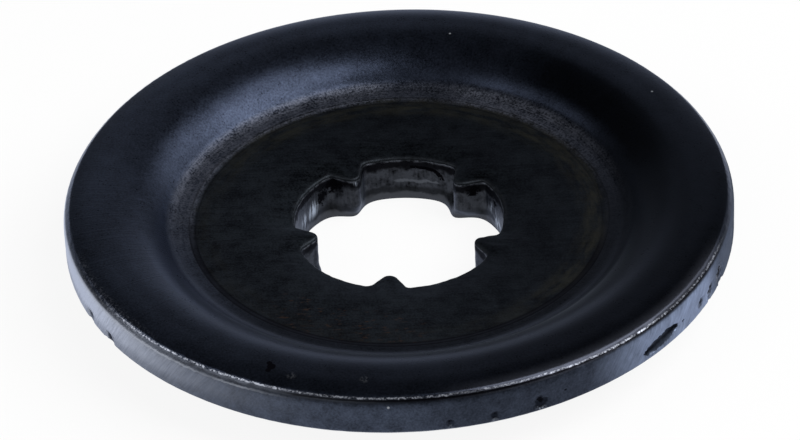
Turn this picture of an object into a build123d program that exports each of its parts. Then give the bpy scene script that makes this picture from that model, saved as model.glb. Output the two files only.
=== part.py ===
from build123d import *
from math import acos, asin, cos, degrees, radians, sin, tan
import os

# Blade support flange of a clearing saw: a dished steel disc with a star-shaped spline hole.
# It is pressed from one piece of plate, and lies on its back boss with the dish upwards.
# The origin is on the hole's axis, on the boss's flat face, and +Z points out of the dish.

# Disc sizes, in mm
outer_diameter = 50.0
overall_height = 6.75
rim_thickness = 3.45
wall_thickness = 3.1
centre_thickness = 4.0

# Dished face, from the rim inwards: the crown falls to the rim's edge, and the seat is the flat on its top
top_edge_chamfer = 0.3
crown_width = 2.3
crown_radius = 6.0
seat_width = 0.6
roll_radius = 6.0
foot_radius = 1.85
coined_diameter = 31.4
coin_step = 0.1

# Back
under_edge_chamfer = 0.3
boss_edge_radius = 2.2

# Star hole, with the tooth's flank angle measured from its middle line
root_diameter = 16.3
tip_diameter = 13.1
tooth_count = 5
tooth_flank_angle = 36.0
tooth_tip_radius = 0.7
tooth_root_radius = 0.5

# Punched wall of the hole: drawn-in top edge, sheared land, torn flare and broken-out tooth corners
drawn_edge = 0.35
drawn_angle = 45.0
flare_height = 1.5
flare_angle = 2.5
tip_break = 0.45

# Knocks in the rim's wall: angle from +X in degrees, height above the rim's underside, width and depth
rim_knocks = [
    (211.4, 0.68, 1.3, 0.14),
    (218.5, 0.49, 1.5, 0.16),
    (284.1, 0.78, 1.1, 0.12),
    (291.6, 0.76, 1.1, 0.12),
    (299.6, 0.97, 1.4, 0.16),
    (322.3, 0.93, 1.9, 0.24),
    (327.5, 1.17, 1.9, 0.24),
    (357.0, 1.40, 1.6, 0.14),
]

outer_radius = outer_diameter / 2
root_radius = root_diameter / 2
tip_radius = tip_diameter / 2
rim_underside = overall_height - rim_thickness
coin_height = centre_thickness + coin_step

# The crown's fall to the rim's edge
crown_angle = degrees(asin(crown_width / crown_radius))
edge_height = overall_height - crown_radius * (1 - cos(radians(crown_angle)))

# The dish's roll and foot are two arcs that meet at this slope
dish_depth = overall_height - coin_height
slope = degrees(acos(1 - dish_depth / (roll_radius + foot_radius)))
roll_start = outer_radius - crown_width - seat_width
slope_x = roll_start - roll_radius * sin(radians(slope))
slope_z = overall_height - roll_radius * (1 - cos(radians(slope)))

# The back's slope lies one wall thickness below the dish's
back_x = slope_x + wall_thickness * sin(radians(slope))
back_z = slope_z - wall_thickness * cos(radians(slope))
boss_corner = back_x - back_z / tan(radians(slope))
rim_corner = back_x + (rim_underside - back_z) / tan(radians(slope))
boss_flat = boss_corner - boss_edge_radius * tan(radians(slope / 2))

# One tooth of the star, pointing from +X towards the axis
tooth_apex = tip_radius - tooth_tip_radius * (1 / sin(radians(tooth_flank_angle)) - 1)
tooth_reach = outer_radius
tooth_half_width = (tooth_reach - tooth_apex) * tan(radians(tooth_flank_angle))

with BuildSketch() as tooth:
    with BuildLine():
        Polyline(
            (tooth_apex, 0),
            (tooth_reach, -tooth_half_width),
            (tooth_reach, tooth_half_width),
            close=True,
        )
    make_face()
    fillet(tooth.vertices().sort_by(Axis.X)[0], radius=tooth_tip_radius)

# Outline of the punched hole, with one tooth towards -Y
with BuildSketch() as star:
    Circle(root_radius)
    with PolarLocations(0, tooth_count, start_angle=-90):
        add(tooth.sketch, mode=Mode.SUBTRACT)
    fillet(star.vertices().group_by(SortBy.DISTANCE)[-1], radius=tooth_root_radius)

with BuildPart() as support_flange:
    # Half section of the pressed disc, turned about the axis
    with BuildSketch(Plane.XZ) as section:
        with BuildLine():
            boss = Line((0, 0), (boss_flat, 0))
            boss_edge = JernArc(boss @ 1, boss % 1, boss_edge_radius, slope)
            Polyline(
                boss_edge @ 1,
                (rim_corner, rim_underside),
                (outer_radius, rim_underside),
                (outer_radius, edge_height),
            )
            crown = JernArc((outer_radius - crown_width, overall_height), (1, 0), crown_radius, -crown_angle)
            seat = Line(crown @ 0, (roll_start, overall_height))
            roll = JernArc(seat @ 1, seat % 1, roll_radius, slope)
            foot = JernArc(roll @ 1, roll % 1, foot_radius, -slope)
            Polyline(
                foot @ 1,
                (coined_diameter / 2, coin_height),
                (coined_diameter / 2 - coin_step, centre_thickness),
                (0, centre_thickness),
                (0, 0),
            )
        make_face()
        chamfer(section.vertices().group_by(Axis.X)[-1].sort_by(Axis.Y)[0], length=under_edge_chamfer)
        chamfer(section.vertices().group_by(Axis.X)[-1].sort_by(Axis.Y)[-1], length=top_edge_chamfer)
    revolve(axis=Axis.Z)

    # Star hole: the land goes right through, and its ends open out towards the dish and the boss
    extrude(star.sketch, amount=centre_thickness, mode=Mode.SUBTRACT)
    with BuildSketch(Plane.XY.offset(centre_thickness - drawn_edge)):
        add(star.sketch)
    extrude(amount=drawn_edge, taper=-drawn_angle, mode=Mode.SUBTRACT)
    with BuildSketch(Plane.XY.offset(flare_height)):
        add(star.sketch)
    extrude(amount=-flare_height, taper=-flare_angle, mode=Mode.SUBTRACT)
    break_base = Align.CENTER, Align.CENTER, Align.MIN
    Cone(tip_radius + tip_break, tip_radius, tip_break, align=break_base, mode=Mode.SUBTRACT)

    # Knocks, each a shallow round hollow pressed into the wall
    for angle, height, width, depth in rim_knocks:
        ball = (width**2 / 4 + depth**2) / (2 * depth)
        with PolarLocations(outer_radius + ball - depth, 1, start_angle=angle):
            with Locations((0, 0, rim_underside + height)):
                Sphere(ball, mode=Mode.SUBTRACT)

support_flange.part.label = "support_flange"

os.makedirs("parts", exist_ok=True)
export_step(support_flange.part, "parts/support_flange.step")
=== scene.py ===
from math import acos, asin, atan2, cos, pi, radians, sin, sqrt, tan, tau

import bpy
import numpy as np
from mathutils import Matrix, Vector, noise


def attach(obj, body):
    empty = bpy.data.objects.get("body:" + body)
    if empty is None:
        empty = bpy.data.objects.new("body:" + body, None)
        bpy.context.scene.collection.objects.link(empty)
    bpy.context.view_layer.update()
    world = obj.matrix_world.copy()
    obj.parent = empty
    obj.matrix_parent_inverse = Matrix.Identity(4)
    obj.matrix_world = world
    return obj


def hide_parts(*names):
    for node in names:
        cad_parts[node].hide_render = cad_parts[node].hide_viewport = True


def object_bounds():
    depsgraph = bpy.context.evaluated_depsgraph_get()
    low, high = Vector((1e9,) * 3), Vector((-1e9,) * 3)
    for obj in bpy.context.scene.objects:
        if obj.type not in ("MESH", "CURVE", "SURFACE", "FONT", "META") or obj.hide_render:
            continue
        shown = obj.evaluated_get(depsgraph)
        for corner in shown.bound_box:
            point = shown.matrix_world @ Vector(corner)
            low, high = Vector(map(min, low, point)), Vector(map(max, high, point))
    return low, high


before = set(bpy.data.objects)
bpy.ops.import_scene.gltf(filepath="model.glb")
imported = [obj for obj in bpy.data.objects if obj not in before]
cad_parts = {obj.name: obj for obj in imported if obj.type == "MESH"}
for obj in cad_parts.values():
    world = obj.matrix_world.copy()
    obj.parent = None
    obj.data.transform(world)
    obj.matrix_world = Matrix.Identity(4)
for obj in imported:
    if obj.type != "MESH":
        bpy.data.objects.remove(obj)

# Blade support flange of a clearing saw, dressed over its CAD solid in the same frame.
# Sizes are in mm, and turn into metres where an object is made.
mm = 0.001
cad_low, cad_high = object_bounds()

# Pressed disc
outer_radius = cad_high.x / mm
overall_height = cad_high.z / mm
rim_underside = 3.3
centre_thickness = 4.0
wall_thickness = 3.1

# Dished face, from the rim inwards
top_edge = 0.36
top_edge_round = 0.45
top_edge_angle = radians(55)
bevel_foot = 5.98
bevel_run = 0.45
crown_width = 2.3
crown_radius = 6.0
seat_width = 0.6
roll_radius = 6.0
foot_radius = 1.85
coin_radius = 15.7
coin_run = 0.4
coin_step = 0.1

# Back
under_edge = 0.3
boss_edge_radius = 2.2

# Star hole
root_radius = 8.15
tip_radius = 6.55
tooth_count = 5
tooth_flank = radians(36)
tooth_tip_round = 0.7
tooth_root_round = 0.5
drawn_edge = 0.22
drawn_height = 0.30
drawn_floor = 0.25

# Each tooth as punched, from the one at -Y on: radius of its tip at the dish's floor and at the torn foot,
# and how far the foot lies aside in degrees
teeth = [(6.60, 6.60, 0), (6.18, 6.28, 0), (6.40, 6.80, 5), (6.50, 6.95, 0), (6.30, 6.05, 0)]
tooth_spread = radians(9)

# Where the roots of the star lie inside their circle: angle in degrees, depth and spread in degrees.
# The depth is whole at the root level and nothing at the tip level.
narrow_roots = [(193, 0.28, 25), (355, 0.42, 28)]
tip_level = 6.0
root_level = 8.0
torn_height = 1.3

# Knocks in the rim's wall: angle from +X in degrees, height above the rim's underside, width and depth
rim_knocks = [
    (211.4, 0.68, 1.2, 0.16),
    (218.5, 0.49, 1.4, 0.18),
    (284.1, 0.78, 0.8, 0.16),
    (291.6, 0.76, 0.9, 0.17),
    (299.6, 0.97, 1.4, 0.20),
    (304.2, 1.20, 0.6, 0.08),
    (331.3, 1.10, 0.7, 0.08),
    (337.6, 1.00, 1.3, 0.13),
    (341.4, 1.00, 1.5, 0.15),
    (346.1, 1.05, 2.0, 0.19),
    (357.0, 1.40, 1.6, 0.14),
]

# Knocks up to this width have no painted highlight on their lip, and those twice as wide have a whole one
small_knock = 0.6

# Gouge in the rim's wall: where it starts and ends, angle and height, with its width and depth
gouge_start = (321.2, 0.88)
gouge_end = (329.2, 1.27)
gouge_width = 1.30
gouge_depth = 0.34

# Marks in the hole's wall and on the rim: middle, and width where the marks differ
hole_burrs = [
    ((-5.50, 5.70, 2.9), 2.8),
    ((-3.30, 6.70, 3.1), 1.8),
    ((3.15, 6.80, 3.0), 1.8),
    ((5.00, 5.30, 2.9), 2.0),
    ((-6.50, 4.85, 2.2), 2.0),
    ((6.80, 4.49, 2.4), 1.2),
]
hole_rubs = [
    ((-7.1, 4.0, 1.6), 2.0),
    ((-7.6, 2.9, 1.2), 2.0),
    ((7.0, 4.1, 0.8), 2.0),
    ((6.6, 4.8, 1.7), 1.6),
    ((-3.8, 5.4, 3.4), 1.0),
    ((3.25, 6.50, 2.3), 0.9),
]
fleck_spots = [
    ((-6.98, -21.50, 6.7), 0.50),
    ((-6.80, -21.88, 6.7), 0.75),
    ((-6.98, -22.28, 6.7), 0.48),
]
smudges = [(-5.25, -22.80, 6.7), (-0.03, -23.00, 6.7)]
smudge_width = 0.9
dust_specks = [
    (-8.71, 14.54, 6.2),
    (-17.16, 3.16, 6.4),
    (1.94, 20.95, 6.6),
    (18.13, 13.68, 6.7),
    (1.83, -24.93, 5.78),
]
speck_width = 0.26

# Painted highlights and painted shade on the roll, where its reflections are lighter or darker: change of
# tone, sector round the axis, and band of radius
roll_painted_light = [
    (-0.70, (40, 14, 16), (18.6, 20.6, 0.8)),
    (-0.40, (335, 28, 25), (18.6, 21.4, 0.8)),
    (0.80, (262, 45, 25), (18.0, 19.3, 0.5)),
    (-0.28, (312, 16, 14), (19.8, 21.4, 0.6)),
]

# Direction in which the dish's floor was wiped
wiped_way = radians(7.3)

# Colours of the oxide and of what lies on it
pure_black = (0, 0, 0, 1)
oxide_blue = (0.0375, 0.0470, 0.0740, 1)
floor_grey = (0.0200, 0.0250, 0.0310, 1)
oil_film = (0.043, 0.041, 0.028, 1)
rust_brown = (0.062, 0.032, 0.017, 1)
scuffed_grey = (0.125, 0.135, 0.172, 1)
shaded_grey = (0.006, 0.007, 0.009, 1)
tool_ring_black = (0.004, 0.004, 0.005, 1)
dust_grey = (0.40, 0.42, 0.46, 1)
dirt_and_shade_black = (0.002, 0.002, 0.003, 1)
rough_shade_grey = (0.030, 0.036, 0.050, 1)

# Colours of the rim's wall and bevel
wall_blue = (0.068, 0.084, 0.125, 1)
ground_and_lit_steel = (0.50, 0.54, 0.64, 1)
rubbed_steel = (0.27, 0.33, 0.48, 1)
lip_highlight_steel = (0.26, 0.29, 0.35, 1)
gouge_highlight_grey = (0.13, 0.16, 0.23, 1)
bevel_dark = (0.012, 0.014, 0.018, 1)
bevel_light = (0.040, 0.045, 0.057, 1)
bevel_highlight_grey = (0.090, 0.100, 0.125, 1)
bevel_shade_black = (0.003, 0.003, 0.005, 1)
shadow_line_black = (0.002, 0.002, 0.003, 1)
crown_shine = (0.14, 0.15, 0.19, 1)
worn_steel = (0.36, 0.38, 0.44, 1)
foot_highlight_steel = (0.42, 0.45, 0.52, 1)

# Colours of the punched hole
hole_grey = (0.040, 0.044, 0.054, 1)
torn_foot_grey = (0.052, 0.056, 0.066, 1)
torn_black = (0.010, 0.011, 0.013, 1)
streak_grey = (0.10, 0.11, 0.13, 1)
burr_and_shade_black = (0.004, 0.004, 0.005, 1)
hole_rub = (0.42, 0.48, 0.58, 1)
drawn_grey = (0.050, 0.056, 0.066, 1)
hole_edge_steel = (0.16, 0.175, 0.21, 1)

# Mesh: columns round the axis, heights of the rows up the hole's wall, and the radii where the hole's outline
# has turned into a circle and where the flat of the floor and of the boss ends
columns = 650
turn = np.linspace(0, tau, columns, endpoint=False)
hole_heights = [0, 0.06, 0.16, 0.3, 0.45, 0.6, 0.75, 0.9, 1.05, 1.2, 1.35, 1.6, 1.9, 2.2, 2.5, 2.8, 3.1, 3.3]
floor_circle = 10.8
floor_end = 15.0
boss_circle = 10.0
boss_end = 16.0

# Softboxes and cards: degrees round from the camera's right and above the floor, width and height in metres,
# and radiance
lamp_distance = 0.5
lamps = [
    ("right_softbox", 0, 40, 0.20, 0.20, 5.2),
    ("right_front_softbox", 330, 40, 0.20, 0.20, 5.2),
    ("right_back_softbox", 30, 31, 0.20, 0.34, 2.3),
    ("right_high_softbox", 0, 62, 0.20, 0.20, 2.6),
    ("front_high_softbox", 315, 62, 0.20, 0.20, 4.3),
    ("left_softbox", 180, 24, 0.20, 0.22, 2.2),
    ("left_front_softbox", 210, 40, 0.20, 0.20, 2.4),
    ("front_card", 265, 45, 0.40, 0.30, 0.4),
    ("back_card", 82, 7, 0.28, 0.18, 0.6),
    ("back_wall", 90, 33, 0.28, 0.26, 0.2),
]

# Camera, fitted to the rim's edge in an 800 by 440 image
image_width = 800
focal_length_px = 4788.9
sensor_width = 36.0
camera_distance = 354.1
camera_azimuth = radians(7.3)
camera_elevation = radians(36.153)
camera_roll = radians(-2.521)
camera_aim = (0.496, -3.424, 6.4)


def turned_from(around, angle):
    """Turn from one angle to others, between minus and plus half a turn."""
    return (around - angle + pi) % tau - pi


def hump(angle, spread):
    """A smooth hump round the columns, 1 at this angle."""
    return np.exp(-((turned_from(turn, angle) / spread) ** 2))


def star_outline():
    """Radius of the punched hole at each column: teeth with round tips and round roots."""
    pitch = tau / tooth_count
    off = np.abs((turn + pi / 2 + pitch / 2) % pitch - pitch / 2)
    slope = tan(tooth_flank)
    apex = tip_radius - tooth_tip_round * (1 / sin(tooth_flank) - 1)
    tip_centre = tip_radius + tooth_tip_round
    tip_end = atan2(tooth_tip_round * cos(tooth_flank), tip_centre - tooth_tip_round * sin(tooth_flank))

    # The root's round lies inside the root circle and touches the flank
    reach = root_radius - tooth_root_round
    start = Vector((apex - tooth_root_round * sin(tooth_flank), tooth_root_round * cos(tooth_flank)))
    along = Vector((cos(tooth_flank), sin(tooth_flank)))
    travel = -start.dot(along) + sqrt(start.dot(along) ** 2 - start.length_squared + reach**2)
    round_centre = start + along * travel
    round_foot = Vector((apex, 0)) + along * travel
    round_start = atan2(round_foot.y, round_foot.x)
    round_end = atan2(round_centre.y, round_centre.x)

    tip_rise = np.sqrt((tooth_tip_round**2 - (tip_centre * np.sin(off)) ** 2).clip(0))
    tip = tip_centre * np.cos(off) - tip_rise
    flank = apex * slope / (np.cos(off) * slope - np.sin(off)).clip(0.05)
    past = off - round_end
    root_rise = np.sqrt((tooth_root_round**2 - (reach * np.sin(past)) ** 2).clip(0))
    root_round = reach * np.cos(past) + root_rise
    stretches = [off < tip_end, off < round_start, off < round_end]
    return np.select(stretches, [tip, flank, root_round], root_radius)


def ring(radius, height):
    """One row of the mesh: points round the axis at this radius and height."""
    radius = radius + np.zeros(columns)
    height = height + np.zeros(columns)
    return np.stack([radius * np.cos(turn), radius * np.sin(turn), height], 1)


def stretch(start, end, steps):
    """Radius and height of points along a straight stretch of the section, without its end."""
    return [tuple(np.add(start, np.subtract(end, start) * step / steps)) for step in range(steps)]


def arc(centre, radius, first, last, steps):
    """Radius and height of points along a round stretch of the section, with its end."""
    angles = np.linspace(first, last, steps + 1)
    return [(centre[0] + radius * cos(angle), centre[1] + radius * sin(angle)) for angle in angles]


def hole_rows():
    """Rows up the punched wall, from the boss to the drawn-in edge of the dish's floor."""
    star = star_outline()
    torn = np.full(columns, root_radius)
    for number, (tip, foot, aside) in enumerate(teeth):
        angle = -pi / 2 + tau * number / tooth_count
        star += (tip - tip_radius) * hump(angle, tooth_spread)
        torn += (foot - root_radius) * hump(angle + radians(aside), tooth_spread)
    for angle, depth, spread in narrow_roots:
        level = (star - tip_level) / (root_level - tip_level)
        star -= depth * hump(radians(angle), radians(spread)) * level
    outline = ring(star, 0)
    along = np.roll(outline, -1, 0) - np.roll(outline, 1, 0)
    outwards = np.stack([along[:, 1], -along[:, 0], np.zeros(columns)], 1)
    outwards /= np.linalg.norm(outwards, axis=1)[:, None]
    rows = []
    for height in hole_heights:
        share = min(height / torn_height, 1)
        share = share * share * (3 - 2 * share)
        rows.append(ring(torn + (star - torn) * share, height))
    for angle in np.linspace(0, pi / 2, 7):
        row = outline + outwards * drawn_edge * (1 - cos(angle))
        row[:, 2] = centre_thickness - drawn_floor - drawn_height + drawn_height * sin(angle)
        rows.append(row)
    return rows


def flat_rows(edge, start, end, height, steps):
    """Rows of a flat face from the hole's edge out to a circle, and from there to a wider one."""
    rows = []
    for share in np.linspace(0, 1, steps + 1)[1:]:
        row = edge + (ring(start, height) - edge) * share
        row[:, 2] = edge[:, 2] + (height - edge[:, 2]) * sin(share * pi / 2)
        rows.append(row)
    return rows + [ring(radius, height) for radius in np.linspace(start, end, steps)[1:]]


def rim_section():
    """Half section from the coined floor over the dish's roll, the seat and the crown, round to the boss."""
    coin_top = centre_thickness + coin_step
    slope = acos(1 - (overall_height - coin_top) / (roll_radius + foot_radius))
    roll_start = outer_radius - crown_width - seat_width
    slope_radius = roll_start - roll_radius * sin(slope)
    slope_height = overall_height - roll_radius * (1 - cos(slope))
    foot_centre = (slope_radius - foot_radius * sin(slope), coin_top + foot_radius)
    roll_centre = (roll_start, overall_height - roll_radius)
    crown_centre = (outer_radius - crown_width, overall_height - crown_radius)
    turned_in = crown_width - top_edge - top_edge_round * sin(top_edge_angle)
    crown_angle = asin(turned_in / (crown_radius - top_edge_round))
    edge_centre = (
        outer_radius - crown_width + turned_in,
        crown_centre[1] + (crown_radius - top_edge_round) * cos(crown_angle),
    )
    coin_edge = coin_radius - coin_run
    section = stretch((floor_end, centre_thickness), (coin_edge, centre_thickness), 5)
    section += stretch((coin_edge, centre_thickness), (coin_radius, coin_top), 3)
    section += stretch((coin_radius, coin_top), (foot_centre[0], coin_top), 4)
    section += arc(foot_centre, foot_radius, -pi / 2, -pi / 2 + slope, 12)
    section += arc(roll_centre, roll_radius, pi / 2 + slope, pi / 2, 22)[1:]
    section += arc(crown_centre, crown_radius, pi / 2, pi / 2 - crown_angle, 10)
    section += arc(edge_centre, top_edge_round, pi / 2 - crown_angle, pi / 2 - top_edge_angle, 5)[1:]

    # Rim's wall between its bevelled edges, the upper one running out into the wall
    wall_top = (outer_radius, bevel_foot - bevel_run)
    wall_foot = (outer_radius, rim_underside + under_edge)
    edge_end = section[-1]
    for share in np.linspace(0, 1, 9)[1:-1]:
        weights = (1 - share) ** 2, 2 * share * (1 - share), share**2
        radius = weights[0] * edge_end[0] + (1 - weights[0]) * outer_radius
        height = weights[0] * edge_end[1] + weights[1] * bevel_foot + weights[2] * wall_top[1]
        section.append((radius, height))
    section += stretch(wall_top, wall_foot, 15)
    section += stretch(wall_foot, (outer_radius - under_edge, rim_underside), 3)

    # The back's slope lies one wall thickness below the dish's
    back_radius = slope_radius + wall_thickness * sin(slope)
    back_height = slope_height - wall_thickness * cos(slope)
    rim_corner = (back_radius + (rim_underside - back_height) / tan(slope), rim_underside)
    boss_flat = back_radius - back_height / tan(slope) - boss_edge_radius * tan(slope / 2)
    boss_edge = arc((boss_flat, boss_edge_radius), boss_edge_radius, -pi / 2 + slope, -pi / 2, 6)
    section += stretch((outer_radius - under_edge, rim_underside), rim_corner, 5)
    section += stretch(rim_corner, boss_edge[0], 4)
    return section + boss_edge


def grain(points, size):
    """Smooth chance heights from -1 to 1 at the points, in lumps of about this size."""
    flat = (points / size).reshape(-1, 3).tolist()
    return np.array([noise.noise(point) for point in flat]).reshape(points.shape[:-1])


def wall_hollows(points):
    """Depth of the knocks and of the gouge in the rim's wall at each point."""
    x, y, z = points[..., 0], points[..., 1], points[..., 2]
    around = np.arctan2(y, x)
    rise = z - rim_underside
    hollow = np.zeros(around.shape)
    ragged = 0.5 * grain(points, 0.28)
    for angle, height, width, depth in rim_knocks:
        aside = turned_from(around, radians(angle)) * outer_radius
        off = np.hypot(aside, rise - height) / (width / 2) + ragged
        hollow = np.maximum(hollow, depth * (1 - off**2))

    # The gouge narrows to both its ends
    aside = turned_from(around, radians(gouge_start[0])) * outer_radius
    run = radians(gouge_end[0] - gouge_start[0]) * outer_radius
    climb = gouge_end[1] - gouge_start[1]
    share = ((aside * run + (rise - gouge_start[1]) * climb) / (run**2 + climb**2)).clip(0, 1)
    half = gouge_width / 2 * (0.4 + 0.6 * np.sin(pi * share) ** 0.7)
    off = np.hypot(aside - run * share, rise - gouge_start[1] - climb * share) / half + ragged * 0.5
    hollow = np.maximum(hollow, gouge_depth * (1 - off**2))
    return hollow * (np.hypot(x, y) > outer_radius - 0.5)


def unevenness(points):
    """How far pressing, punching and handling have left each face from true."""
    reach = np.hypot(points[..., 0], points[..., 1])
    z = points[..., 2]
    in_hole = (reach < root_radius + 0.3) & (z > 0.1) & (z < centre_thickness - 0.05)
    on_edge = (reach > outer_radius - top_edge - 0.12) & (z > overall_height - 0.75)
    on_wall = (reach > outer_radius - 0.35) & ~on_edge
    on_ring = (reach > coin_radius) & (reach < coin_radius + 1.7) & (z > centre_thickness)
    faces = [in_hole, on_edge, on_wall, on_ring]
    amount = np.select(faces, [0.030, 0.022, 0.012, 0.006], 0.0015)
    size = np.select(faces, [0.5, 0.3, 0.5, 0.4], 1.5)
    return amount * (grain(points, size[..., None]) - 0.35)


def flange_mesh():
    """The flange as one closed skin of rows round the axis."""
    hole = hole_rows()
    rows = hole + flat_rows(hole[-1], floor_circle, floor_end, centre_thickness, 9)[:-1]
    rows += [ring(radius, height) for radius, height in rim_section()]
    rows += flat_rows(hole[0], boss_circle, boss_end, 0.0, 3)[::-1]
    points = np.array(rows)
    along = np.roll(points, -1, 0) - np.roll(points, 1, 0)
    across = np.roll(points, -1, 1) - np.roll(points, 1, 1)
    outwards = np.cross(along, across)
    outwards /= np.linalg.norm(outwards, axis=-1)[..., None]
    inwards = wall_hollows(points) - unevenness(points)
    points -= outwards * inwards[..., None]

    # Nothing stands out of the solid's own box
    points[..., 2] = points[..., 2].clip(0, overall_height)
    reach = np.hypot(points[..., 0], points[..., 1])
    points[..., :2] *= np.minimum(outer_radius / reach, 1)[..., None]

    index = np.arange(len(rows) * columns).reshape(len(rows), columns)
    above = np.roll(index, -1, 0)
    faces = np.stack([index, above, np.roll(above, -1, 1), np.roll(index, -1, 1)], -1).reshape(-1, 4)
    mesh = bpy.data.meshes.new("support_flange_skin")
    mesh.from_pydata((points.reshape(-1, 3) * mm).tolist(), [], faces.tolist())
    mesh.shade_smooth()
    return mesh


class Value:
    """A socket of a finish. Sums of values add the Math nodes that work them out."""

    def __init__(self, finish, socket):
        self.finish = finish
        self.socket = socket

    def output(self, name):
        """Another output of the same node."""
        return Value(self.finish, self.socket.node.outputs[name])

    def math(self, operation, first, second=0.0):
        return self.finish.node("ShaderNodeMath", {"operation": operation}, {0: first, 1: second})

    def __add__(self, other):
        return self.math("ADD", self, other)

    def __radd__(self, other):
        return self.math("ADD", other, self)

    def __sub__(self, other):
        return self.math("SUBTRACT", self, other)

    def __rsub__(self, other):
        return self.math("SUBTRACT", other, self)

    def __mul__(self, other):
        return self.math("MULTIPLY", self, other)

    def __rmul__(self, other):
        return self.math("MULTIPLY", other, self)

    def __truediv__(self, other):
        return self.math("DIVIDE", self, other)

    def __pow__(self, power):
        return self.math("POWER", self, power)

    def __abs__(self):
        return self.math("ABSOLUTE", self)


class Finish:
    """The nodes of one material or of the world."""

    def __init__(self, owner):
        owner.use_nodes = True
        self.tree = owner.node_tree
        self.tree.nodes.clear()

    def node(self, kind, settings=None, inputs=None, output=0):
        """Adds a node, sets it up, fills its sockets with numbers or values, and gives one of its outputs."""
        made = self.tree.nodes.new(kind)
        for name, setting in (settings or {}).items():
            setattr(made, name, setting)
        for name, value in (inputs or {}).items():
            if isinstance(value, Value):
                self.tree.links.new(value.socket, made.inputs[name])
            else:
                made.inputs[name].default_value = value
        return Value(self, made.outputs[output]) if made.outputs else made

    def rise(self, value, low, high):
        """0 below low and 1 above high, with a smooth step between."""
        settings = {"interpolation_type": "SMOOTHSTEP"}
        return self.node("ShaderNodeMapRange", settings, {"Value": value, "From Min": low, "From Max": high})

    def band(self, value, low, high, soft):
        """1 between low and high, with smooth sides."""
        return self.rise(value, low - soft, low) * (1 - self.rise(value, high, high + soft))

    def mix(self, share, first, second):
        """A colour between two colours."""
        return self.node("ShaderNodeMix", {"data_type": "RGBA"}, {0: share, 6: first, 7: second}, output=2)

    def lumps(self, place, size, detail, rough):
        """Chance values round 0.5, in lumps of about this size."""
        inputs = {"Vector": place, "Scale": 1 / size, "Detail": detail, "Roughness": rough}
        return self.node("ShaderNodeTexNoise", None, inputs)

    def sway(self, chance, amount):
        """Chance values turned to lie round 0, times an amount."""
        return (chance - 0.5) * amount


class Skin(Finish):
    """The flange's finish, which knows where a point lies, in mm from the hole's axis and the boss."""

    def __init__(self, owner):
        super().__init__(owner)
        here = self.node("ShaderNodeTexCoord", output="Object")
        self.point = self.node("ShaderNodeVectorMath", {"operation": "SCALE"}, {0: here, "Scale": 1 / mm})
        self.x = self.node("ShaderNodeSeparateXYZ", None, {0: self.point})
        self.y = self.x.output("Y")
        self.z = self.x.output("Z")
        self.radius = (self.x * self.x + self.y * self.y) ** 0.5
        self.around = self.node("ShaderNodeMath", {"operation": "ARCTAN2"}, {0: self.y, 1: self.x})

        # Chance values: lumps of four sizes, rings of the tool, grinding of the wall and dragging in the hole
        self.cloud = self.lumps(self.point, 4.0, 3.0, 0.6)
        self.patch = self.lumps(self.point, 1.1, 4.0, 0.6)
        self.ragged = self.lumps(self.point, 0.35, 3.0, 0.7)
        self.speckle = self.lumps(self.point, 0.16, 2.0, 0.6)
        self.lathe = self.lumps(self.drawn(self.radius * 9, self.around * 1.5), 1.0, 2.0, 0.6)
        arc_length = self.around * outer_radius
        slanted = self.drawn((arc_length - self.z * 0.7) * 6, (self.z + arc_length * 0.2) * 0.5, 0.0)
        self.grind = self.lumps(slanted, 1.0, 4.0, 0.65)
        self.dragged = self.lumps(self.drawn(self.x * 5, self.y * 5, 0.5), 1.0, 3.0, 0.6)

        # Zones: 1 on one part of the flange and 0 elsewhere
        upper_edge = self.rise(self.z, 5.92, 6.20)
        near_edge = 0.2 * self.rise(self.z, 5.3, 5.6)
        self.floor = 1 - self.rise(self.radius + self.sway(self.patch, 0.8), 15.1, 16.1)
        self.wall = self.rise(self.radius + near_edge, outer_radius - 0.14, outer_radius - 0.06)
        self.wall = self.wall * (1 - upper_edge)
        self.bevel = self.rise(self.radius, outer_radius - 0.34, outer_radius - 0.28) * upper_edge
        self.in_hole = (1 - self.rise(self.radius, 8.55, 8.7)) * (1 - self.rise(self.z, 3.42, 3.50))
        self.foot_ring = self.band(self.radius, 15.75, 17.0, 0.55) * self.rise(self.z, 3.9, 4.0)

        # Height in the hole, made to waver like the tear in its wall
        self.torn_line = self.z + self.sway(self.lumps(self.point, 0.9, 2.0, 0.5), 0.7)

    def facing(self, angle):
        """Cosine of the turn round the axis from the point to this direction in degrees."""
        return (self.x * cos(radians(angle)) + self.y * sin(radians(angle))) / self.radius

    def sector(self, angle, half, soft):
        """1 within half of a direction round the axis, fading out over the soft degrees beyond."""
        return self.rise(self.facing(angle), cos(radians(min(half + soft, 179))), cos(radians(half)))

    def spot(self, middle, width, soft):
        """1 at the middle of a round spot, fading out at its edge."""
        inputs = {0: self.point, 1: middle}
        off = self.node("ShaderNodeVectorMath", {"operation": "DISTANCE"}, inputs, "Value")
        return 1 - self.rise(off, width / 2 * (1 - soft), width / 2)

    def drawn(self, along, across, tall=1.0):
        """The point in squeezed measures, for marks that run along one way."""
        return self.node("ShaderNodeCombineXYZ", None, {0: along, 1: across, 2: self.z * tall})


def oxide_colour(skin):
    """Oxide of the rim and the roll, painted lighter on its lit side and darker on the other, with painted
    highlights and shade on the roll.
    """
    # Painted light and shade: lighter towards the lit side, darker on the other
    painted_lit_side = 1 + 0.7 * skin.facing(165)
    tone = 1 + skin.sway(skin.cloud, 1.2) + skin.sway(skin.patch, 0.7) + skin.sway(skin.speckle, 1.8)
    tone = painted_lit_side * tone
    # Painted highlights and shade on the roll
    for change, sector, ring_band in roll_painted_light:
        tone = tone * (1 + change * skin.sector(*sector) * skin.band(skin.radius, *ring_band))
    return skin.mix(tone * 0.4, pure_black, oxide_blue)


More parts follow.
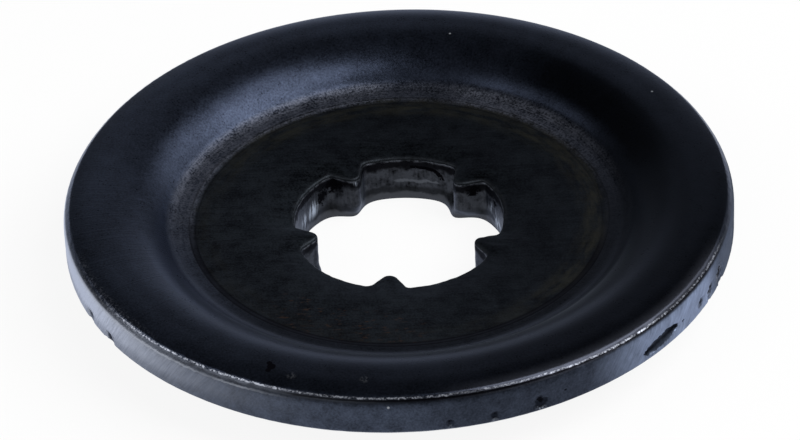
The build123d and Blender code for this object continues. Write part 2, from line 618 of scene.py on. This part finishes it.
def floor_colour(skin):
    """Floor of the dish, painted darker on its shaded side, with streaks of wiping, a yellowish film towards
    its foot and a little rust.
    """
    along = skin.x * cos(wiped_way) + skin.y * sin(wiped_way)
    across = skin.y * cos(wiped_way) - skin.x * sin(wiped_way)
    wiped = skin.lumps(skin.drawn(along * 0.3, across * 4), 1.0, 3.0, 0.6)
    tone = 1 + skin.sway(skin.cloud, 2.0) + skin.sway(skin.patch, 3.2)
    tone = tone + skin.sway(wiped, 1.8) + skin.sway(skin.speckle, 3.4)
    # Painted shade: darker towards the floor's right side, lighter on its lit side
    tone = tone * (0.66 + 0.46 * skin.rise(skin.facing(220), -0.5, 0.8))
    colour = skin.mix(tone * 0.5, pure_black, floor_grey)
    smeared = skin.lumps(skin.drawn(skin.radius * 1.4, skin.around * 5), 1.0, 5.0, 0.7)
    film = skin.band(skin.radius, 14.6, 16.6, 1.6) * skin.rise(smeared, 0.34, 0.70)
    film = film * (0.25 + 0.75 * skin.rise(skin.facing(55), -0.6, 0.3))
    colour = skin.mix(film * 0.65, colour, oil_film)
    rust = skin.rise(skin.lumps(skin.drawn(along * 1.2, across * 3.5), 1.0, 4.0, 0.7), 0.56, 0.68)
    rust = rust * skin.sector(260, 18, 12) * skin.band(skin.radius, 12.0, 15.4, 0.8)
    return skin.mix(rust * 0.8, colour, rust_brown)


def scuffed_ring(skin):
    """How far the pressed ring at the foot of the roll is scuffed."""
    scuffed = skin.rise(skin.lathe * 0.3 + skin.patch * 0.35 + skin.speckle * 0.6, 0.44, 0.80)
    scuffed = skin.foot_ring * scuffed
    return scuffed * (0.15 + 0.85 * skin.sector(112, 48, 50)) * (1 - 0.5 * skin.sector(90, 5, 8))


def ring_colour(skin, colour, scuffed):
    """Scuffed ring at the foot of the roll, with painted shade on one side, and the tool's two fine rings."""
    colour = skin.mix(scuffed * 0.9, colour, scuffed_grey)
    # Painted shade on the near side of the ring
    shaded = skin.band(skin.radius, 15.8, 17.5, 0.35) * skin.sector(300, 60, 25)
    colour = skin.mix(shaded * 0.6, colour, shaded_grey)
    tool_rings = 1 - skin.rise(abs(skin.radius - 15.2), 0.02, 0.10)
    tool_rings = tool_rings + 1 - skin.rise(abs(skin.radius - 15.72), 0.02, 0.12)
    return skin.mix(tool_rings * 0.55 * skin.rise(skin.cloud, 0.3, 0.6), colour, tool_ring_black)


def ground_and_lit_side(skin):
    """How far the rim's wall is ground and painted bright on one side, a painted highlight where the light
    falls on it.
    """
    ground_and_lit = skin.facing(200) ** 6 * skin.sector(200, 80, 10) * (1 + skin.sway(skin.grind, 1.4))
    return ground_and_lit * (0.62 + 0.6 * skin.rise(skin.z, 3.8, 5.0))


def knock_highlights_and_shade(skin):
    """Painted highlights on the lips below the larger knocks in the rim's wall, and painted shade in the pits
    of all of them.
    """
    lip_highlights, pit_shade = [], []
    for angle, above, width, _ in rim_knocks:
        middle = Vector((cos(radians(angle)), sin(radians(angle)), 0)) * outer_radius
        middle.z = rim_underside + above - 0.42 * width
        strength = min(1.0, max(0.0, width - small_knock) / small_knock)
        lip_highlights.append(skin.spot(middle, 0.75 * width, 0.8) * strength)
        middle.z = rim_underside + above + 0.1 * width
        pit_shade.append(skin.spot(middle, 0.8 * width, 1.0))
    lip_highlights = sum(lip_highlights) * skin.rise(skin.speckle, 0.35, 0.6)
    pit_shade = skin.rise(sum(pit_shade) * (1 + skin.sway(skin.ragged, 3.0)), 0.30, 0.60)
    return lip_highlights, pit_shade


def wall_colour(skin, colour, ground_and_lit, lip_highlights):
    """Rim's wall, ground and painted bright on its lit side, rubbed on another, painted darker round 306
    degrees as shade, with a painted highlight on the gouge's lower side.
    """
    scale_and_shade = 1 + skin.sway(skin.patch, 1.6) + skin.sway(skin.speckle, 1.5)
    # Painted shade: darker round 306 degrees
    scale_and_shade = scale_and_shade * (1.22 - 0.45 * skin.sector(306, 18, 12))
    tone = skin.mix(scale_and_shade * 0.5, pure_black, wall_blue)
    tone = skin.mix(ground_and_lit, tone, ground_and_lit_steel)
    rubbed = skin.sector(338, 4, 27) * (0.7 + skin.sway(skin.grind, 1.2) + skin.sway(skin.patch, 0.8))
    tone = skin.mix(rubbed, tone, rubbed_steel)
    tone = skin.mix(lip_highlights * 0.7, tone, lip_highlight_steel)
    colour = skin.mix(skin.wall, colour, tone)
    climb = (gouge_end[1] - gouge_start[1]) / radians(gouge_end[0] - gouge_start[0])
    middle = (skin.around - radians(gouge_start[0] - 360)) * climb + rim_underside + gouge_start[1]
    in_gouge = skin.sector(325.2, 5.0, 1.0) * (1 - skin.wall)
    in_gouge = in_gouge * skin.band(skin.z, rim_underside + 0.4, 5.2, 0.1)
    in_gouge = in_gouge * skin.rise(skin.radius, outer_radius - 0.45, outer_radius - 0.40)
    # Painted highlight on the gouge's lower side
    gouge_lower_highlight = skin.rise(middle - skin.z, 0.16, 0.42)
    return skin.mix(in_gouge * 0.45 * gouge_lower_highlight, colour, gouge_highlight_grey)


def bevel_colour(skin, colour):
    """Bevel, painted lighter on one side and darker on another as light and shade, with a bright ragged line
    worn along its upper edge, a painted shadow line under that and a painted highlight on the crown.
    """
    tone = skin.mix(skin.patch, bevel_dark, bevel_light)
    # Painted highlight on one side of the bevel and painted shade on another
    tone = skin.mix(0.5 * skin.sector(245, 20, 14), tone, bevel_highlight_grey)
    tone = skin.mix(0.75 * skin.sector(310, 30, 15), tone, bevel_shade_black)
    # Painted shadow line under the worn line
    shadow_line = 1 - skin.rise(abs(skin.radius - (outer_radius - 0.25)), 0.02, 0.07)
    tone = skin.mix(shadow_line * skin.sector(285, 22, 12) * 0.8, tone, shadow_line_black)
    on_top = skin.rise(skin.z, 6.0, 6.1)
    # Painted highlight on the crown's edge on one side
    shine = skin.rise(skin.radius, 23.6, 24.4) * on_top * skin.sector(316, 22, 14)
    colour = skin.mix(shine * 0.22, colour, crown_shine)
    colour = skin.mix(skin.bevel, colour, tone)

    # Worn line, with loose grains where it starts
    edge_off = skin.radius - (outer_radius - 0.37) - 0.07 * skin.sector(330, 14, 18)
    edge_off = abs(edge_off + skin.sway(skin.ragged, 0.14))
    worn = (1 - skin.rise(edge_off, 0.015, 0.07)) * on_top
    worn = worn * skin.rise(skin.lumps(skin.point, 0.4, 3.0, 0.7), 0.30, 0.62) * skin.sector(284, 60, 8)
    worn = worn * skin.rise(skin.speckle, 0.34, 0.58) * (1 - 0.4 * skin.sector(300, 9, 9))
    grains = skin.band(skin.radius, 24.3, 24.9, 0.3) * skin.rise(skin.speckle, 0.45, 0.80)
    grains = grains * skin.sector(216, 8, 8)
    colour = skin.mix(worn + grains * 0.35, colour, worn_steel)

    # Painted highlight along the bevel's foot, on the ground and lit side only
    foot_highlight = skin.band(skin.z + skin.sway(skin.ragged, 0.25), 5.90, 5.96, 0.07)
    foot_highlight = foot_highlight * skin.rise(skin.radius, 24.8, 24.9) * skin.sector(222, 22, 16)
    return skin.mix(foot_highlight * (0.2 + 0.5 * skin.rise(skin.cloud, 0.35, 0.6)), colour, foot_highlight_steel)


def hole_marks(skin):
    """Black burrs and torn places of the punched wall, painted shade along its top under the drawn-in edge,
    and its bright rubbed places.
    """
    on_far_side = skin.rise(skin.y, 5, 6)
    arch = ((skin.x + 0.5) / 2.95) ** 4 + ((skin.z - 1.2) / 1.75) ** 4
    arch = (1 - skin.rise(abs(arch - 1), 0.16, 0.40)) * skin.band(skin.x, 0.1, 2.8, 0.3)
    arch = arch * skin.rise(skin.z, 1.8, 2.1) * on_far_side
    burrs_and_shade = arch * skin.rise(skin.ragged, 0.30, 0.50)
    burrs_and_shade = burrs_and_shade + sum(skin.spot(middle, width, 1.0) for middle, width in hole_burrs)
    burrs_and_shade = skin.rise(burrs_and_shade + skin.sway(skin.ragged, 2.2) + skin.sway(skin.patch, 1.2), 0.45, 0.75)
    # Painted shade along the top of the wall, under the drawn-in edge
    burrs_and_shade = burrs_and_shade + skin.rise(skin.torn_line + skin.sway(skin.patch, 1.2), 2.65, 3.0) * 0.85
    rubbed = sum(skin.spot(middle, width, 0.9) for middle, width in hole_rubs)
    return burrs_and_shade, rubbed * skin.rise(skin.dragged, 0.42, 0.62)


def hole_colour(skin, colour, burrs_and_shade, rubbed):
    """Punched hole: dragged down its wall, torn dark over a light foot, worn bright at corners and edge."""
    tone = 0.75 + skin.sway(skin.dragged, 1.0) + skin.sway(skin.patch, 3.0) + skin.sway(skin.ragged, 1.5)
    tone = skin.mix(tone, pure_black, hole_grey)
    tone = skin.mix(1 - skin.rise(skin.torn_line, 0.55, 0.70), tone, torn_foot_grey)
    tone = skin.mix(skin.band(skin.torn_line, 0.72, 0.95, 0.35) * 0.8, tone, torn_black)
    streak = skin.band(skin.torn_line, 1.66, 1.74, 0.10) * skin.band(skin.x, -1.0, 1.9, 0.5)
    streak = streak * skin.rise(skin.y, 5, 6)
    tone = skin.mix(streak * 0.6, tone, streak_grey)
    tone = skin.mix(burrs_and_shade * 0.9, tone, burr_and_shade_black)
    tone = skin.mix(rubbed, tone, hole_rub)
    colour = skin.mix(skin.in_hole, colour, tone)
    drawn_in = skin.band(skin.z, 3.52, 3.72, 0.05) * (1 - skin.rise(skin.radius, 8.4, 8.7))
    colour = skin.mix(drawn_in * 0.25, colour, drawn_grey)
    edge = skin.band(skin.z + skin.sway(skin.ragged, 0.16), 3.42, 3.50, 0.07)
    edge = edge * (1 - skin.rise(skin.radius, 8.5, 8.7))
    edge = edge * skin.rise(skin.lumps(skin.point, 1.0, 3.0, 0.7), 0.38, 0.60)
    return skin.mix(edge * 0.85, colour, hole_edge_steel)


def stray_marks(skin):
    """A black fleck on the rim, and the dust of smudges and specks."""
    fleck = sum(skin.spot(middle, width, 0.3) for middle, width in fleck_spots)
    dust = sum(skin.spot(middle, smudge_width, 1.0) for middle in smudges)
    dust = dust * 0.32 * skin.rise(skin.ragged + skin.sway(skin.speckle, 0.6), 0.42, 0.62)
    return fleck, dust + sum(skin.spot(middle, speck_width, 0.6) for middle in dust_specks)


def black_oxide_steel():
    """Oiled black oxide, ground and worn bright where the flange has been handled."""
    material = bpy.data.materials.new("black_oxide_steel")
    skin = Skin(material)
    scuffed = scuffed_ring(skin)
    ground_and_lit = ground_and_lit_side(skin)
    lip_highlights, pit_shade = knock_highlights_and_shade(skin)
    burrs_and_shade, rubbed = hole_marks(skin)
    fleck, dust = stray_marks(skin)

    colour = skin.mix(skin.floor, oxide_colour(skin), floor_colour(skin))
    colour = ring_colour(skin, colour, scuffed)
    colour = wall_colour(skin, colour, ground_and_lit, lip_highlights)
    colour = bevel_colour(skin, colour)
    colour = hole_colour(skin, colour, burrs_and_shade, rubbed)
    colour = skin.mix(dust, colour, dust_grey)

    dish_floor = skin.floor * (1 - skin.in_hole)
    roughness = 0.30 + 0.20 * dish_floor + 0.2 * scuffed + 0.16 * skin.wall + 0.14 * skin.in_hole
    roughness = roughness + skin.sway(skin.patch, 0.10) + skin.sway(skin.speckle, 0.10) + 0.3 * dust
    height = 0.006 * skin.speckle + 0.010 * skin.lathe * skin.foot_ring
    height = height + 0.02 * skin.patch * (skin.wall + skin.in_hole) + 0.012 * skin.grind * ground_and_lit
    bump = skin.node("ShaderNodeBump", None, {"Strength": 1.0, "Distance": mm, "Height": height})
    steel = skin.node("ShaderNodeBsdfPrincipled", None, {
        "Base Color": colour,
        "Metallic": 1.0,
        "Roughness": roughness,
        "Specular Tint": (0.80, 0.85, 1.0, 1),
        "Sheen Weight": 0.055,
        "Sheen Roughness": 0.35,
        "Sheen Tint": (0.75, 0.86, 1.0, 1),
        "Normal": bump,
    })

    # Matte dirt and painted shade: black for the fleck and burrs, and as painted shade in the pits, under the
    # hole's drawn-in edge and on the coined step's near side; grey as painted shade on the rough end of the
    # wall
    # Painted shade: the rough end of the wall is matte grey
    rough_shaded_end = skin.sector(359, 13, 7) * skin.wall
    dirt_and_shade = skin.node("ShaderNodeBsdfPrincipled", None, {
        "Base Color": skin.mix(rough_shaded_end * (1 - pit_shade), dirt_and_shade_black, rough_shade_grey),
        "Roughness": 1.0,
        "Specular IOR Level": 0.0,
    })
    # Painted shade: the coined step is matte black on its near side
    step = skin.band(skin.radius, 15.28, 15.72, 0.08) * skin.sector(272, 70, 25)
    matte = fleck + 0.7 * step + 0.85 * burrs_and_shade * skin.in_hole * (1 - rubbed)
    matte = matte + 0.85 * pit_shade + 0.8 * rough_shaded_end
    surface = skin.node("ShaderNodeMixShader", None, {0: matte, 1: steel, 2: dirt_and_shade})
    skin.node("ShaderNodeOutputMaterial", None, {"Surface": surface})
    return material


def support_flange():
    """The flange's own piece, which stands for the CAD solid."""
    piece = bpy.data.objects.new("support_flange_pressed", flange_mesh())
    bpy.context.collection.objects.link(piece)
    piece.data.materials.append(black_oxide_steel())
    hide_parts("support_flange")
    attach(piece, "root")


def white_floor():
    """Plain white table under the boss, 4 metres wide, which keeps the flange's soft shadow."""
    half = 2.0
    corners = [(-half, -half, 0), (half, -half, 0), (half, half, 0), (-half, half, 0)]
    mesh = bpy.data.meshes.new("white_floor")
    mesh.from_pydata(corners, [], [(0, 1, 2, 3)])
    floor = bpy.data.objects.new("white_floor", mesh)
    floor.location.z = cad_low.z - 0.02 * mm
    bpy.context.collection.objects.link(floor)
    material = bpy.data.materials.new("white_floor")
    finish = Finish(material)
    ray = finish.node("ShaderNodeLightPath", output="Is Camera Ray")
    seen = finish.rise(ray + ray.output("Is Glossy Ray") + ray.output("Is Transmission Ray"), 0.0, 1.0)
    paper = finish.node("ShaderNodeBsdfDiffuse", None, {"Color": (0.9, 0.9, 0.9, 1)})
    glow = finish.node("ShaderNodeEmission", None, {"Color": (1, 1, 1, 1), "Strength": 1.0})
    shader = finish.node("ShaderNodeMixShader", None, {0: seen * 0.9, 1: paper, 2: glow})
    finish.node("ShaderNodeOutputMaterial", None, {"Surface": shader})
    floor.data.materials.append(material)


def dim_room():
    """Dim grey room round the table, which the camera sees as white."""
    world = bpy.data.worlds.new("dim_room")
    bpy.context.scene.world = world
    finish = Finish(world)
    seen = finish.node("ShaderNodeLightPath", output="Is Camera Ray")
    shade = finish.mix(seen, (0.18, 0.18, 0.18, 1), (1, 1, 1, 1))
    room = finish.node("ShaderNodeBackground", None, {"Color": shade})
    finish.node("ShaderNodeOutputWorld", None, {"Surface": room})


def camera_side(around, above):
    """Direction from the flange, by degrees round from the camera's right and degrees above the floor."""
    around = radians(around) + camera_azimuth
    above = radians(above)
    return Vector((cos(around) * cos(above), sin(around) * cos(above), sin(above)))


def softbox(name, around, above, width, height, radiance):
    """A rectangular lamp that faces the flange. Its light is given as radiance, where 1 is white paper's."""
    lamp = bpy.data.lights.new(name, "AREA")
    lamp.shape = "RECTANGLE"
    lamp.size = width
    lamp.size_y = height
    lamp.energy = radiance * pi * width * height
    towards = camera_side(around, above)
    box = bpy.data.objects.new(name, lamp)
    box.rotation_mode = "QUATERNION"
    box.rotation_quaternion = towards.to_track_quat("Z", "Y")
    box.location = towards * lamp_distance
    bpy.context.collection.objects.link(box)


def photo_camera():
    """Camera at the photograph's place, with a long lens."""
    data = bpy.data.cameras.new("photo_camera")
    data.sensor_fit = "HORIZONTAL"
    data.sensor_width = sensor_width
    data.lens = focal_length_px / image_width * sensor_width
    data.clip_start = 0.01
    back = camera_side(-90, 0) * cos(camera_elevation) + Vector((0, 0, sin(camera_elevation)))
    right = camera_side(0, 0)
    up = back.cross(right)
    rolled_right = right * cos(camera_roll) + up * sin(camera_roll)
    rolled_up = up * cos(camera_roll) - right * sin(camera_roll)
    turned = Matrix((rolled_right, rolled_up, back)).transposed().to_4x4()
    camera = bpy.data.objects.new("photo_camera", data)
    camera.matrix_world = Matrix.Translation((Vector(camera_aim) + back * camera_distance) * mm) @ turned
    bpy.context.collection.objects.link(camera)
    bpy.context.scene.camera = camera


support_flange()
white_floor()
dim_room()
for lamp_row in lamps:
    softbox(*lamp_row)
photo_camera()
bpy.context.scene.view_settings.view_transform = "Standard"
